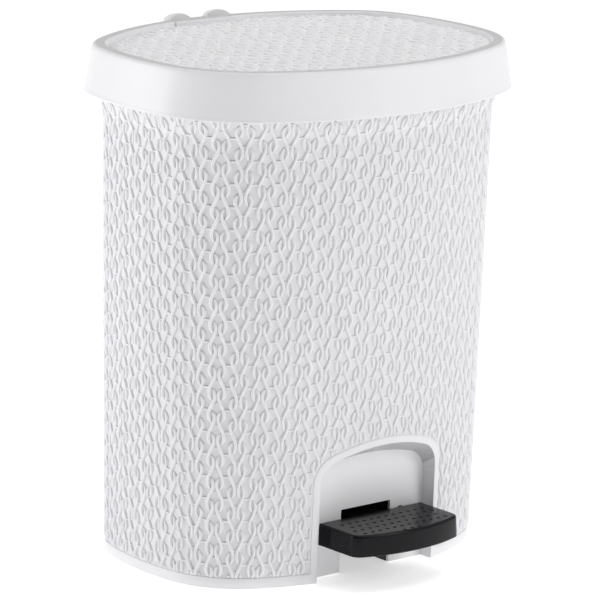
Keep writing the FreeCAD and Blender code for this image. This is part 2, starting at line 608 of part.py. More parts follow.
for tag, x0, x1 in (("left", "-26.5", "-13.5"), ("middle", "-6.5", "6.5"), ("right", "13.5", "26.5")):
    lid_adds.append(rod("knuckle_" + tag, "x", s("knuckle"), x0, x1, s("hinge_y"), s("hinge_z")))
    lid_adds.append(box("web_" + tag, x0, x1, "118", "126", s("hinge_z"), "373"))
for sign in (-1, 1):
    hump = doc.addObject("Part::Ellipsoid", "hump_" + side_name(sign))
    hump.Angle1 = -90
    hump.Angle2 = 90
    for prop, alias in (("Radius1", "hump_height"), ("Radius2", "hump_length"), ("Radius3", "hump_depth")):
        bind(hump, prop, s(alias))
    bind(hump, "Placement.Base.x", "%d * Sizes.hump_x" % sign)
    bind(hump, "Placement.Base.y", s("hump_y"))
    bind(hump, "Placement.Base.z", s("hump_z"))
    lid_adds.append(hump)
run = "Sizes.tab_reach * cos(Sizes.tab_angle)"
fall = "Sizes.tab_reach * sin(Sizes.tab_angle)"
off_y, off_z = "Sizes.tab_thick * sin(Sizes.tab_angle)", "Sizes.tab_thick * cos(Sizes.tab_angle)"
tip_y, tip_z = "Sizes.hinge_y - %s" % run, "Sizes.hinge_z - %s" % fall
tab_side = [
    ("Sizes.hinge_y - %s" % off_y, "Sizes.hinge_z + %s" % off_z),
    ("%s - %s" % (tip_y, off_y), "%s + %s" % (tip_z, off_z)),
    ("%s + %s" % (tip_y, off_y), "%s - %s" % (tip_z, off_z)),
    ("Sizes.hinge_y + %s" % off_y, "Sizes.hinge_z - %s" % off_z),
]
lid_adds.append(prism("tab_arm", "YZ_Plane", tab_side, "-Sizes.tab_half", s("tab_half")))
lid_adds.append(rod("tab_tip", "x", s("tab_round"), "-Sizes.tab_half", s("tab_half"), tip_y, tip_z))
bumper_spots = {}
front_y = "Sizes.front_radius - Sizes.front_reach - sqrt((Sizes.front_radius + Sizes.bumper_grow)^2 - 55^2)"
side_x = "Sizes.half_width - Sizes.side_radius + sqrt((Sizes.side_radius + Sizes.bumper_grow)^2 - 25^2)"
for sign in (-1, 1):
    bumper_spots["front_" + side_name(sign)] = ("%d * 55" % sign, front_y, 5, 3)
    bumper_spots["side_" + side_name(sign)] = ("%d * (%s)" % (sign, side_x), "25", 3, 5)
for tag, (x, y, dx, dy) in bumper_spots.items():
    lid_adds.append(box("rib_" + tag, "%s - %d" % (x, dx), "%s + %d" % (x, dx), "%s - %d" % (y, dy),
                        "%s + %d" % (y, dy), "349.5", "373"))
    keep("bumper_" + tag, box("pad_" + tag, "%s - %d" % (x, dx - 1), "%s + %d" % (x, dx - 1),
                              "%s - %d" % (y, dy - 0.5) if dy == 3 else "%s - %d" % (y, dy - 1),
                              "%s + %d" % (y, dy - 0.5) if dy == 3 else "%s + %d" % (y, dy - 1),
                              "Sizes.rim_z + 0.05", "349.5"))
lid_bore = rod("lid_bore", "x", s("pin_radius"), "-40", "40", s("hinge_y"), s("hinge_z"))
keep("lid", cut("lid_solid", fuse("lid_joined", lid_adds), [lid_bore]))
keep("hinge_pin", rod("pin", "x", s("pin_radius"), "-Sizes.pin_half", s("pin_half"),
                      s("hinge_y"), s("hinge_z")))
clips = []
for sign in (-1, 1):
    tag = side_name(sign)
    low, high = sorted((sign * 32.8, sign * 33.8))
    disc = rod("clip_disc_" + tag, "x", "4.2", str(low), str(high), s("hinge_y"), s("hinge_z"))
    hole = rod("clip_hole_" + tag, "x", s("pin_radius"), "-40", "40", s("hinge_y"), s("hinge_z"))
    clips.append(cut("clip_" + tag, disc, [hole]))
keep("hinge_clips", group("clip_group", clips))

# ---------------------------------------------------------------- inner bucket and its handle
bucket_outside = loft("bucket_outside", [
    (s("bucket_floor"), s("bucket_low_grow")),
    ("Sizes.ledge_z + 0.5", s("bucket_high_grow")),
], BUCKET_REACH)
bucket_inside = loft("bucket_inside", [
    ("Sizes.bucket_floor + 2.5", "Sizes.bucket_low_grow - Sizes.bucket_wall"),
    ("Sizes.lip_top + 1", "Sizes.bucket_high_grow - Sizes.bucket_wall"),
], BUCKET_REACH)
flange_plate = loft("flange_plate", [
    (s("ledge_z"), s("flange_grow")),
    ("Sizes.ledge_z + Sizes.flange_thick", s("flange_grow")),
])
lip_outside = loft("lip_outside", [(s("ledge_z"), s("flange_grow")), (s("lip_top"), s("flange_grow"))])
lip_inside = loft("lip_inside", [
    ("Sizes.ledge_z - 1", "Sizes.flange_grow - Sizes.lip_wall"),
    ("Sizes.lip_top + 1", "Sizes.flange_grow - Sizes.lip_wall"),
])
lip_ring = cut("lip_ring", lip_outside, [lip_inside])
bail_z = "Sizes.ledge_z + Sizes.flange_thick + Sizes.bail_radius + 0.05"
bucket_adds = [bucket_outside, flange_plate, lip_ring]
for sign in (-1, 1):
    low = "Sizes.half_width - 2" if sign > 0 else "-(Sizes.half_width + 1.5)"
    high = "Sizes.half_width + 1.5" if sign > 0 else "-(Sizes.half_width - 2)"
    bucket_adds.append(box("lug_" + side_name(sign), low, high, "-5", "5", "Sizes.ledge_z + 1", bail_z))
    bucket_adds.append(rod("lug_eye_" + side_name(sign), "x", "5", low, high, "0", bail_z))
bucket_cuts = [
    bucket_inside,
    box("rod_notch", "-9", "9", "95.8", "130", "335", "346"),
    box("grip_notch", "-42", "42", "-101", "-86", "334.5", "346"),
    rod("bail_bore", "x", "Sizes.bail_radius + Sizes.running_fit", "-141", "141", "0", bail_z),
]
keep("bucket", cut("bucket_solid", fuse("bucket_joined", bucket_adds), bucket_cuts))

bail_body = new_body("bail_body")
path = new_sketch(bail_body, "bail_path", "XY_Plane", bail_z)
front_c, side_c, back_c, fc, bc, (a1, a2, a3, a4) = plan_frame(SHELL_REACH)
g = number(s("bail_grow"))
radii = ("side_radius", "front_corner", "front_radius", "front_corner", "side_radius")
reach = [number(s(alias)) + g for alias in radii]
bend = number(s("bail_bend"))
end_x = number("Sizes.half_width + 3")
bend_x = math.sqrt((reach[0] + bend) ** 2 - bend ** 2) + side_c[0]
tilt = math.asin(bend / (reach[0] + bend))
point = FreeCAD.Vector
path.addGeometry([
    arc(-side_c[0], 0, reach[0], math.pi + tilt, math.pi - a2),
    arc(-fc[0], fc[1], reach[1], math.pi - a2, math.pi - a1),
    arc(0, front_c[1], reach[2], -math.pi - a1, a1),
    arc(fc[0], fc[1], reach[3], a1, a2),
    arc(side_c[0], 0, reach[4], a2, -tilt),
    arc(bend_x, -bend, bend, math.pi / 2, math.pi - tilt),
    arc(-bend_x, -bend, bend, tilt, math.pi / 2),
    Part.LineSegment(point(bend_x, 0, 0), point(end_x, 0, 0)),
    Part.LineSegment(point(-end_x, 0, 0), point(-bend_x, 0, 0)),
])
for i in range(4):
    path.addConstraint(Sketcher.Constraint("Tangent", i, 2, i + 1, 1))
path.addConstraint(Sketcher.Constraint("Tangent", 4, 2, 5, 2))
path.addConstraint(Sketcher.Constraint("Tangent", 5, 1, 7, 1))
path.addConstraint(Sketcher.Constraint("Tangent", 0, 1, 6, 1))
path.addConstraint(Sketcher.Constraint("Tangent", 6, 2, 8, 2))
for i, alias in enumerate(radii):
    text = "%s + %s" % (s(alias), s("bail_grow"))
    drive(path, Sketcher.Constraint("Radius", i, number(text)), "radius%d" % i, text)
for i in (5, 6):
    drive(path, Sketcher.Constraint("Radius", i, bend), "bend%d" % i, s("bail_bend"))
inward = "%s - %s" % (s("half_width"), s("side_radius"))
pin_point(path, 2, 3, "front", "0", "%s - %s" % (s("front_radius"), s("front_reach")))
pin_point(path, 4, 3, "right", inward, "0")
pin_point(path, 0, 3, "left", "-(%s)" % inward, "0")
pin_point(path, 7, 2, "tip_right", "Sizes.half_width + 3", "0")
pin_point(path, 8, 1, "tip_left", "-(Sizes.half_width + 3)", "0")
path.addConstraint(Sketcher.Constraint("PointOnObject", 7, 1, -1))
path.addConstraint(Sketcher.Constraint("PointOnObject", 8, 2, -1))
ring = new_sketch(bail_body, "bail_ring", "YZ_Plane", "-(Sizes.half_width + 3)")
ring.addGeometry(Part.Circle(point(0, number(bail_z), 0), point(0, 0, 1), 2))
drive(ring, Sketcher.Constraint("Radius", 0, 2), "radius", s("bail_radius"))
pin_point(ring, 0, 3, "middle", "0", bail_z)
doc.recompute()
pipe = bail_body.newObject("PartDesign::AdditivePipe", "bail_pipe")
pipe.Profile = ring
pipe.Spine = path
keep("bail", bail_body)

sleeve = []
for name, radius in (("grip_outer", s("grip_radius")), ("grip_inner", s("bail_radius"))):
    torus = doc.addObject("Part::Torus", name)
    bind(torus, "Radius1", "Sizes.front_radius + Sizes.bail_grow")
    bind(torus, "Radius2", radius)
    torus.Angle3 = 18 if name == "grip_outer" else 20
    turn = FreeCAD.Rotation(FreeCAD.Vector(0, 0, 1), -90 - torus.Angle3.Value / 2)
    torus.Placement = FreeCAD.Placement(FreeCAD.Vector(), turn)
    bind(torus, "Placement.Base.y", "Sizes.front_radius - Sizes.front_reach")
    bind(torus, "Placement.Base.z", bail_z)
    sleeve.append(torus)
keep("bail_grip", cut("grip", sleeve[0], [sleeve[1]]))

# ---------------------------------------------------------------- check and write
doc.recompute()
for thing in doc.Objects:
    bad = [state for state in thing.State if state in ("Invalid", "Error")]
    if bad:
        raise RuntimeError("%s is %s" % (thing.Name, bad))
os.makedirs("parts", exist_ok=True)
for node, thing in PARTS.items():
    shape = thing.Shape
    if shape.isNull() or not shape.isValid() or not shape.Solids:
        raise RuntimeError("bad shape: " + node)
    shape.exportStep(os.path.join("parts", node + ".step"))
    bounds = shape.BoundBox
    print("%-20s solids %2d volume %10.0f x %7.1f %7.1f y %7.1f %7.1f z %7.1f %7.1f" % (
        node, len(shape.Solids), shape.Volume, bounds.XMin, bounds.XMax, bounds.YMin, bounds.YMax,
        bounds.ZMin, bounds.ZMax))
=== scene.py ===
"""Looks of the pedal trash can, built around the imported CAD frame.

Names ending in _MM, and every number in the knit, lid and pedal sections, are millimetres; meshes are
scaled to metres when they are made. +X is to the right of the pedal, the pedal faces -Y, the floor is z = 0.
"""
import json
import math

import bmesh
import bpy
import numpy as np
from mathutils import Matrix, Vector


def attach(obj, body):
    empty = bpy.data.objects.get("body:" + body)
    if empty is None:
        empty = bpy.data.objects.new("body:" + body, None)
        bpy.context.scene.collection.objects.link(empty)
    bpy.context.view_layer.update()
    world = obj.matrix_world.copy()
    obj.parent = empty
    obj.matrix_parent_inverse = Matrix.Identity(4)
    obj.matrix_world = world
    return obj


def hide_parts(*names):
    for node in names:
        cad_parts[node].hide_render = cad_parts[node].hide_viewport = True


MM = 0.001
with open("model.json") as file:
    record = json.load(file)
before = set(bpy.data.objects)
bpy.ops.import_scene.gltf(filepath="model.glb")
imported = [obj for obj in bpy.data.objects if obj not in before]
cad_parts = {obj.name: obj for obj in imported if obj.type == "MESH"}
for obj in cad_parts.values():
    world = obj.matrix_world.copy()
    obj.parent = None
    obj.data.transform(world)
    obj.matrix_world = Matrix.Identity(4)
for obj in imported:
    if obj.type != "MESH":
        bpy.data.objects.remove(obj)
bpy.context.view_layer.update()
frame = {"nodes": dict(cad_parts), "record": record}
nodes = frame["nodes"]


# ------------------------------------------------------------------ materials
def new_material(name):
    material = bpy.data.materials.new(name)
    material.use_nodes = True
    tree = material.node_tree
    shader = tree.nodes["Principled BSDF"]
    place = tree.nodes.new("ShaderNodeTexCoord")
    return material, tree, shader, place.outputs["Object"]


def noise(tree, where, scale, detail=2.0, stretch=(1.0, 1.0, 1.0)):
    """Noise in object space; scale is in features per metre."""
    mapping = tree.nodes.new("ShaderNodeMapping")
    mapping.inputs["Scale"].default_value = stretch
    tree.links.new(where, mapping.inputs["Vector"])
    texture = tree.nodes.new("ShaderNodeTexNoise")
    texture.inputs["Scale"].default_value = scale
    texture.inputs["Detail"].default_value = detail
    tree.links.new(mapping.outputs["Vector"], texture.inputs["Vector"])
    return texture.outputs["Fac"]


def spread(tree, value, low, high):
    """A texture's middle range mapped to low..high."""
    node = tree.nodes.new("ShaderNodeMapRange")
    node.inputs["From Min"].default_value = 0.3
    node.inputs["From Max"].default_value = 0.7
    node.inputs["To Min"].default_value = low
    node.inputs["To Max"].default_value = high
    tree.links.new(value, node.inputs["Value"])
    return node.outputs["Result"]


def tint(tree, value, dark, light):
    """A colour between two near shades, by a texture value."""
    mix = tree.nodes.new("ShaderNodeMix")
    mix.data_type = "RGBA"
    mix.inputs["A"].default_value = (*dark, 1.0)
    mix.inputs["B"].default_value = (*light, 1.0)
    tree.links.new(value, mix.inputs["Factor"])
    return mix.outputs["Result"]


def bump(tree, shader, value, height_mm):
    node = tree.nodes.new("ShaderNodeBump")
    node.inputs["Distance"].default_value = height_mm * MM
    tree.links.new(value, node.inputs["Height"])
    tree.links.new(node.outputs["Normal"], shader.inputs["Normal"])


CLOUDS = 22.0               # patches of slightly different shade, per metre
DRAWN_LINES = 900.0         # lines in drawn metal, per metre


def moulded(name, colour, roughness, shade=0.03, grain=2600.0, grain_mm=0.02, gloss=0.5):
    """Moulded plastic: faint clouding of colour and gloss, and a fine moulded grain."""
    material, tree, shader, where = new_material(name)
    clouds = noise(tree, where, CLOUDS, 3.0)
    dark = tuple(c * (1.0 - shade) for c in colour)
    light = tuple(min(1.0, c * (1.0 + shade)) for c in colour)
    tree.links.new(tint(tree, spread(tree, clouds, 0.0, 1.0), dark, light), shader.inputs["Base Color"])
    tree.links.new(spread(tree, clouds, roughness - 0.04, roughness + 0.04), shader.inputs["Roughness"])
    shader.inputs["Specular IOR Level"].default_value = gloss
    bump(tree, shader, noise(tree, where, grain, 2.0), grain_mm)
    return material


def metal(name, colour, roughness, stretch):
    """Drawn or plated metal: fine lines along one axis."""
    material, tree, shader, where = new_material(name)
    lines = noise(tree, where, DRAWN_LINES, 3.0, stretch)
    dark = tuple(c * 0.9 for c in colour)
    tree.links.new(tint(tree, spread(tree, lines, 0.0, 1.0), dark, colour), shader.inputs["Base Color"])
    tree.links.new(spread(tree, lines, roughness - 0.05, roughness + 0.08), shader.inputs["Roughness"])
    shader.inputs["Metallic"].default_value = 1.0
    bump(tree, shader, lines, 0.01)
    return material


WHITE_SHADE = 0.012         # the white plastics are nearly free of clouding
white = moulded("white_plastic", (0.775, 0.77, 0.79), 0.42, WHITE_SHADE)
# painted shade: a darker copy of the white plastic for the sunk ground between the strands, in place of the
# shade that falls there
painted_shade_ground = moulded("white_plastic_ground_painted_shade", (0.735, 0.728, 0.75), 0.5, WHITE_SHADE)
# painted shade: a darker copy of the white plastic for the rim's up-facing flat top, in place of the dimmer
# light from overhead
painted_shade_rim = moulded("white_plastic_rim_painted_shade", (0.58, 0.58, 0.583), 0.36, WHITE_SHADE, gloss=0.3)
# painted shade: a darker copy of the white plastic for the down-facing slope over the alcove, in place of the
# shade under it
painted_shade_slope = moulded("white_plastic_crown_painted_shade", (0.54, 0.535, 0.55), 0.5, WHITE_SHADE)
# painted light: a brighter copy of the white plastic for the alcove's back and the lid's sunk panel and knit,
# offsetting the shade in these recesses
painted_light_panel = moulded("white_plastic_panel_painted_light", (0.90, 0.895, 0.91), 0.5, WHITE_SHADE)
black = moulded("black_plastic", (0.005, 0.0042, 0.0056), 0.20, shade=0.15, grain=1800.0,
                grain_mm=0.03, gloss=0.14)
chassis_black = moulded("chassis_plastic", (0.012, 0.012, 0.013), 0.5, shade=0.15)
bucket_grey = moulded("bucket_plastic", (0.34, 0.35, 0.36), 0.45, shade=0.04)
guide_white = moulded("guide_plastic", (0.68, 0.68, 0.66), 0.55, shade=0.03)
rubber = moulded("rubber", (0.03, 0.03, 0.03), 0.85, shade=0.2, grain=1200.0, grain_mm=0.05, gloss=0.3)
clear_rubber = moulded("clear_rubber", (0.62, 0.62, 0.60), 0.4, shade=0.04)
steel = metal("steel", (0.62, 0.62, 0.63), 0.30, (1.0, 1.0, 1.0))
wire = metal("wire", (0.72, 0.72, 0.74), 0.16, (0.05, 1.0, 1.0))

SLOT_MATERIALS = {
    "white_plastic": white, "black_plastic": black, "chassis_plastic": chassis_black,
    "bucket_plastic": bucket_grey, "guide_plastic": guide_white, "rubber": rubber,
    "clear_rubber": clear_rubber, "steel": steel, "wire": wire,
}


# ------------------------------------------------------------------ mesh helpers
def make_object(name, points_mm, faces, material, body, smooth_deg=None):
    """A mesh object in metres from millimetre points, riding on a CAD body."""
    mesh = bpy.data.meshes.new(name)
    mesh.from_pydata((np.asarray(points_mm, float) * MM).tolist(), [], faces)
    mesh.validate()
    return wrap(name, mesh, material, body, smooth_deg)


def wrap(name, mesh, material, body, smooth_deg=None):
    thing = bpy.data.objects.new(name, mesh)
    bpy.context.scene.collection.objects.link(thing)
    mesh.materials.append(material)
    if smooth_deg is None:
        mesh.shade_smooth()
    else:
        smooth_by_angle(thing, smooth_deg)
    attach(thing, body)
    return thing


def smooth_by_angle(thing, degrees):
    """Smooth shading with edges sharper than the angle kept crisp."""
    mesh = thing.data
    mesh.shade_smooth()
    mesh.set_sharp_from_angle(angle=math.radians(degrees))


def join_parts(parts):
    """Several (points, faces) as one."""
    points, faces, base = [], [], 0
    for part_points, part_faces in parts:
        points.append(np.asarray(part_points, float))
        faces.extend([tuple(i + base for i in face) for face in part_faces])
        base += len(part_points)
    return np.concatenate(points), faces


def from_bmesh(shape):
    points = [tuple(v.co) for v in shape.verts]
    faces = [tuple(v.index for v in face.verts) for face in shape.faces]
    shape.free()
    return points, faces


def soft_block(x, y, z, radius):
    """A box from x, y, z ranges with rounded edges."""
    shape = bmesh.new()
    bmesh.ops.create_cube(shape, size=1.0)
    for vert in shape.verts:
        for axis, (low, high) in enumerate((x, y, z)):
            vert.co[axis] = low if vert.co[axis] < 0 else high
    bmesh.ops.bevel(shape, geom=list(shape.edges), offset=radius, segments=3, profile=0.5,
                    affect="EDGES", clamp_overlap=True)
    shape.verts.index_update()
    return from_bmesh(shape)


def soft_bar(radius, span, middle, axis="x", edge=0.4, sides=40):
    """A round bar with softened ends; middle holds its other two coordinates."""
    rings = [(span[0], radius - edge), (span[0] + edge * 0.3, radius - edge * 0.3), (span[0] + edge, radius),
             (span[1] - edge, radius), (span[1] - edge * 0.3, radius - edge * 0.3), (span[1], radius - edge)]
    points = []
    for along, r in rings:
        for k in range(sides):
            turn = 2.0 * math.pi * k / sides
            p, q = middle[0] + r * math.cos(turn), middle[1] + r * math.sin(turn)
            points.append({"x": (along, p, q), "y": (q, along, p), "z": (p, q, along)}[axis])
    faces = ring_faces(len(rings), sides)
    faces.append(tuple(range(sides))[::-1])
    faces.append(tuple(range((len(rings) - 1) * sides, len(rings) * sides)))
    return points, faces


def ring_faces(rows, columns, closed=True):
    """Quads between stacked rings of points, each ring closed or open."""
    faces = []
    last = columns if closed else columns - 1
    for i in range(rows - 1):
        for k in range(last):
            nxt = (k + 1) % columns
            faces.append((i * columns + k, i * columns + nxt, (i + 1) * columns + nxt, (i + 1) * columns + k))
    return faces


# ------------------------------------------------------------------ the oval plan
HALF_WIDTH, FRONT_REACH, BACK_REACH = 138.0, 100.0, 110.0
FRONT_RADIUS, SIDE_RADIUS, BACK_RADIUS = 226.0, 190.0, 205.0
FRONT_CORNER, BACK_CORNER = 66.0, 45.0
MEASURE_GROW = 2.9          # arc lengths are measured on the wall at mid height


def corner_centre(big, small, corner, toward_back):
    """Centre of a corner arc inside two larger arcs, each a (centre, radius)."""
    (ax, ay), ra = big[0], big[1] - corner
    (bx, by), rb = small[0], small[1] - corner
    gap = math.hypot(bx - ax, by - ay)
    along = (ra * ra - rb * rb + gap * gap) / (2.0 * gap)
    aside = math.sqrt(ra * ra - along * along)
    mx, my = ax + along * (bx - ax) / gap, ay + along * (by - ay) / gap
    spots = [(mx + turn * aside * (by - ay) / gap, my - turn * aside * (bx - ax) / gap) for turn in (1, -1)]
    return max(spots, key=lambda p: p[1] if toward_back else -p[1])


class Plan:
    """The closed oval of eight tangent arcs; the right half is five arcs from front to back."""

    def __init__(self):
        front = ((0.0, FRONT_RADIUS - FRONT_REACH), FRONT_RADIUS)
        side = ((HALF_WIDTH - SIDE_RADIUS, 0.0), SIDE_RADIUS)
        back = ((0.0, BACK_REACH - BACK_RADIUS), BACK_RADIUS)
        near = corner_centre(front, side, FRONT_CORNER, False)
        far = corner_centre(back, side, BACK_CORNER, True)
        middles = (front[0], near, side[0], far, back[0])
        radii = (FRONT_RADIUS, FRONT_CORNER, SIDE_RADIUS, BACK_CORNER, BACK_RADIUS)
        breaks = [-math.pi / 2]
        for a, b in ((front[0], near), (side[0], near), (side[0], far), (back[0], far)):
            breaks.append(math.atan2(b[1] - a[1], b[0] - a[0]))
        breaks.append(math.pi / 2)
        self.middles = np.array(middles)
        self.radii = np.array(radii)
        self.breaks = np.array(breaks)
        lengths = (self.radii + MEASURE_GROW) * np.diff(self.breaks)
        self.marks = np.concatenate([[0.0], np.cumsum(lengths)])
        self.length = 2.0 * self.marks[-1]

    def at(self, travel):
        """Points and outward normals on the plain outline, by travel from the front centre towards +x."""
        travel = np.mod(np.asarray(travel, float), self.length)
        on_left = travel > self.length / 2
        half = np.where(on_left, self.length - travel, travel)
        arc = np.clip(np.searchsorted(self.marks, half, side="right") - 1, 0, 4)
        turn = self.breaks[arc] + (half - self.marks[arc]) / (self.radii[arc] + MEASURE_GROW)
        nx, ny = np.cos(turn), np.sin(turn)
        x = self.middles[arc, 0] + self.radii[arc] * nx
        y = self.middles[arc, 1] + self.radii[arc] * ny
        flip = np.where(on_left, -1.0, 1.0)
        return x * flip, y, nx * flip, ny

    def outside(self, x, y):
        """How far points lie outside the plain outline."""
        x = np.abs(x)
        turns = [np.arctan2(y - m[1], x - m[0]) for m in self.middles]
        gaps = [np.hypot(x - m[0], y - m[1]) - r for m, r in zip(self.middles, self.radii)]
        result = np.where(y < 0, gaps[1], gaps[3])
        on_side = (turns[2] >= self.breaks[2]) & (turns[2] <= self.breaks[3])
        result = np.where(on_side, gaps[2], result)
        result = np.where(turns[0] <= self.breaks[1], gaps[0], result)
        return np.where((turns[4] >= self.breaks[4]) & (y > 0), gaps[4], result)

    def travel_to(self, x, back):
        """Travel at which the right half's front or back has this x."""
        arc, sign = (4, 1) if back else (0, -1)
        turn = sign * math.acos((x - self.middles[arc, 0]) / self.radii[arc])
        return self.marks[arc] + (turn - self.breaks[arc]) * (self.radii[arc] + MEASURE_GROW)


plan = Plan()


# ------------------------------------------------------------------ knit relief
REPEATS = 26                       # pattern repeats round the shell, four strand columns each
REPEAT = plan.length / REPEATS
STITCH = 16.26                     # height of one stitch
SWING = 2.3                        # how far a strand swings to each side of its column
ROPE_HALF, ROPE_HEIGHT = 1.45, 1.5
TICK_HALF, TICK_HEIGHT = 0.85, 1.2
SINK = 0.7                         # how deep a strand's end goes into the wall at a border
PAIR_HALF = 0.14                   # half the spacing of a linked pair, in repeats
STEP_DOWN = 0.36                   # how far the inner column sits lower, in stitches
FIRST_STITCH = 13.25               # height of the lowest left swing
PATTERN_SHIFT = -0.063             # first pair's place, in repeats from the front centre
ROPE_FOOT = -0.35                  # the rope's foot is this share of its height below the ground
SECTION = [(-1.0, ROPE_FOOT), (-0.86, 0.42), (-0.42, 0.92), (0.0, 1.0), (0.42, 0.92), (0.86, 0.42),
           (1.0, ROPE_FOOT)]
TAPER_SHARE = 0.12                 # share of a rope's length over which each end thins out
TICK_FALL, DOT_FALL = 0.67, 0.37   # how far ticks and dots sit below the swing, in stitches


HOOK_IN, SWING_FALL, HOOK_BACK = 0.28, 0.9, 0.37     # the strand's stretches, in stitches
STRAND_RINGS = 16


def strand_course():
    """Centre line of one strand: hooks in, swings left to right in an S and hooks back."""
    fall = np.linspace(-HOOK_IN, SWING_FALL + HOOK_BACK, STRAND_RINGS)
    hook_in = -np.cos(math.pi / 2 * fall / HOOK_IN)
    across = -np.cos(math.pi * fall / SWING_FALL)
    hook_back = np.cos(math.pi / 2 * (fall - SWING_FALL) / HOOK_BACK)
    swing = np.where(fall < 0, hook_in, np.where(fall < SWING_FALL, across, hook_back))
    return np.stack([swing * SWING, -fall * STITCH], axis=1)


def rope(course, half, height, ends=0.35):
    """A closed low rope over a flat course, as rings of local points (along, up, out)."""
    count = len(course)
    ahead = np.gradient(course, axis=0)
    ahead /= np.linalg.norm(ahead, axis=1)[:, None]
    aside = np.stack([-ahead[:, 1], ahead[:, 0]], axis=1)
    share = np.linspace(0.0, 1.0, count)
    taper = np.minimum(1.0, ends + (1.0 - ends) * np.minimum(share, 1.0 - share) / TAPER_SHARE)
    rings = np.empty((count, len(SECTION), 3))
    for k, (across, out) in enumerate(SECTION):
        rings[:, k, :2] = course + aside * (across * half * taper)[:, None]
        rings[:, k, 2] = out * height * taper
    return rings


def dome(half_across, half_up, height, sides=10):
    """A small low bead, as rings from its foot to its top."""
    turn = 2.0 * math.pi * np.arange(sides) / sides
    rings = []
    for level, size in ((-0.3, 1.0), (0.45, 0.86), (0.85, 0.5), (1.0, 0.12)):
        across = half_across * size * np.cos(turn)
        up = half_up * size * np.sin(turn)
        rings.append(np.stack([across, up, np.full(sides, level * height)], axis=1))
    return np.array(rings)


def mirrored(rings):
    return (rings * np.array([-1.0, 1.0, 1.0]))[:, ::-1]


def line(x0, x1, count=5):
    return np.stack([np.linspace(x0, x1, count), np.zeros(count)], axis=1)


def knit_repeat():
    """Everything in one repeat and one stitch: (rings, across, up, whole) with the outer column's left swing
    at height 0; a whole part is left out where any of it is hidden."""
    strand = rope(strand_course(), ROPE_HALF, ROPE_HEIGHT)
    other = mirrored(strand)
    pair = PAIR_HALF * REPEAT
    lower = -STEP_DOWN * STITCH
    tick = rope(line(-pair + 0.85 * SWING, pair - 0.5 * SWING), TICK_HALF, TICK_HEIGHT, ends=0.8)
    bead = dome(1.5, 1.0, 1.05)
    dot = dome(0.9, 0.8, 0.85)
    middle = 0.5 * REPEAT
    return [
        (strand, -pair, 0.0, False),
        (strand, pair, lower, False),
        (other, middle - pair, lower, False),
        (other, middle + pair, 0.0, False),
        (tick, 0.0, -TICK_FALL * STITCH, True),
        (mirrored(tick), middle, -TICK_FALL * STITCH, True),
        (bead, 0.25 * REPEAT, lower - TICK_FALL * STITCH, True),
        (dot, 0.75 * REPEAT, -DOT_FALL * STITCH, True),
    ]


def tube_faces(count, wide):
    faces = ring_faces(count, wide)
    faces.append(tuple(range(wide))[::-1])
    faces.append(tuple(range((count - 1) * wide, count * wide)))
    return faces


def volume_sign(rings):
    """+1 if the tube's faces look outward."""
    points = rings.reshape(-1, 3)
    total = 0.0
    for face in tube_faces(*rings.shape[:2]):
        for i in range(1, len(face) - 1):
            total += np.dot(points[face[0]], np.cross(points[face[i]], points[face[i + 1]]))
    return 1 if total > 0 else -1


def lay_pattern(across_spots, up_spots, visible):
    """Copies of the repeat at each spot, kept where visible(across, up) is above 0.
    Returns flat points (across, up, out), with the ends at a border sunk, and faces."""
    points, faces, base = [], [], 0
    for rings, dx, dz, whole in knit_repeat():
        outward = volume_sign(rings) > 0
        for across in across_spots:
            for up in up_spots:
                moved = rings + np.array([across + dx, up + dz, 0.0])
                show = np.clip(visible(moved[..., 0], moved[..., 1]), 0.0, 1.0)
                lit = show.max(axis=1) > 0.0
                if not lit.any() or (whole and show.min() <= 0.0):
                    continue
                first = max(int(lit.argmax()) - 1, 0)
                last = min(len(lit) - int(lit[::-1].argmax()) + 1, len(lit))
                if last - first < 3:
                    continue
                show = show * show * (3.0 - 2.0 * show)
                moved[..., 2] = moved[..., 2] * show - SINK * (1.0 - show)
                kept = moved[first:last]
                for face in tube_faces(last - first, rings.shape[1]):
                    face = face if outward else face[::-1]
                    faces.append(tuple(i + base for i in face))
                points.append(kept.reshape(-1, 3))
                base += kept.shape[0] * kept.shape[1]
    return np.concatenate(points), faces


# ground of the knit wall: height against grow, as in the shell
WALL_HEIGHTS = (1.0, 324.0, 334.0, 343.0, 347.0)
WALL_GROWS = (-1.0, 5.0, 7.6, 11.0, 11.0)
ALCOVE_HALF, ALCOVE_TOP, ALCOVE_CROWN, ALCOVE_CORNER = 54.6, 97.6, 127.0, 17.0
BORDER = 5.0
BAND_TOP = 8.5
KNIT_TOP = 342.5
FADE = 1.6                         # a strand sinks into the wall over this distance


def alcove_gap(x, z):
    """How far a point of the front wall is outside the alcove's arch."""
    x = np.abs(x)
    crown_z = ALCOVE_TOP - ALCOVE_CROWN
    corner_x = ALCOVE_HALF - ALCOVE_CORNER
    corner_z = crown_z + math.sqrt((ALCOVE_CROWN - ALCOVE_CORNER) ** 2 - corner_x ** 2)
    tilt = math.atan2(corner_z - crown_z, corner_x)
    turn = np.arctan2(z - crown_z, x)
    crown = np.hypot(x, z - crown_z) - ALCOVE_CROWN
    corner = np.hypot(x - corner_x, z - corner_z) - ALCOVE_CORNER
    side = x - ALCOVE_HALF
    return np.where(turn > tilt, crown, np.where(z > corner_z, corner, side))


def wall_point(flat):
    """Pattern points (travel, height, out) placed on the shell's wall."""
    x, y, nx, ny = plan.at(flat[:, 0])
    grow = np.interp(flat[:, 1], WALL_HEIGHTS, WALL_GROWS) + flat[:, 2]
    return np.stack([x + nx * grow, y + ny * grow, flat[:, 1]], axis=1)


def wall_shows(travel, height):
    x, y, _, _ = plan.at(travel)
    room = np.minimum(height - BAND_TOP, KNIT_TOP - height)
    gap = np.where(y < 0, alcove_gap(x, height) - BORDER, 100.0)
    return np.minimum(room, gap) / FADE


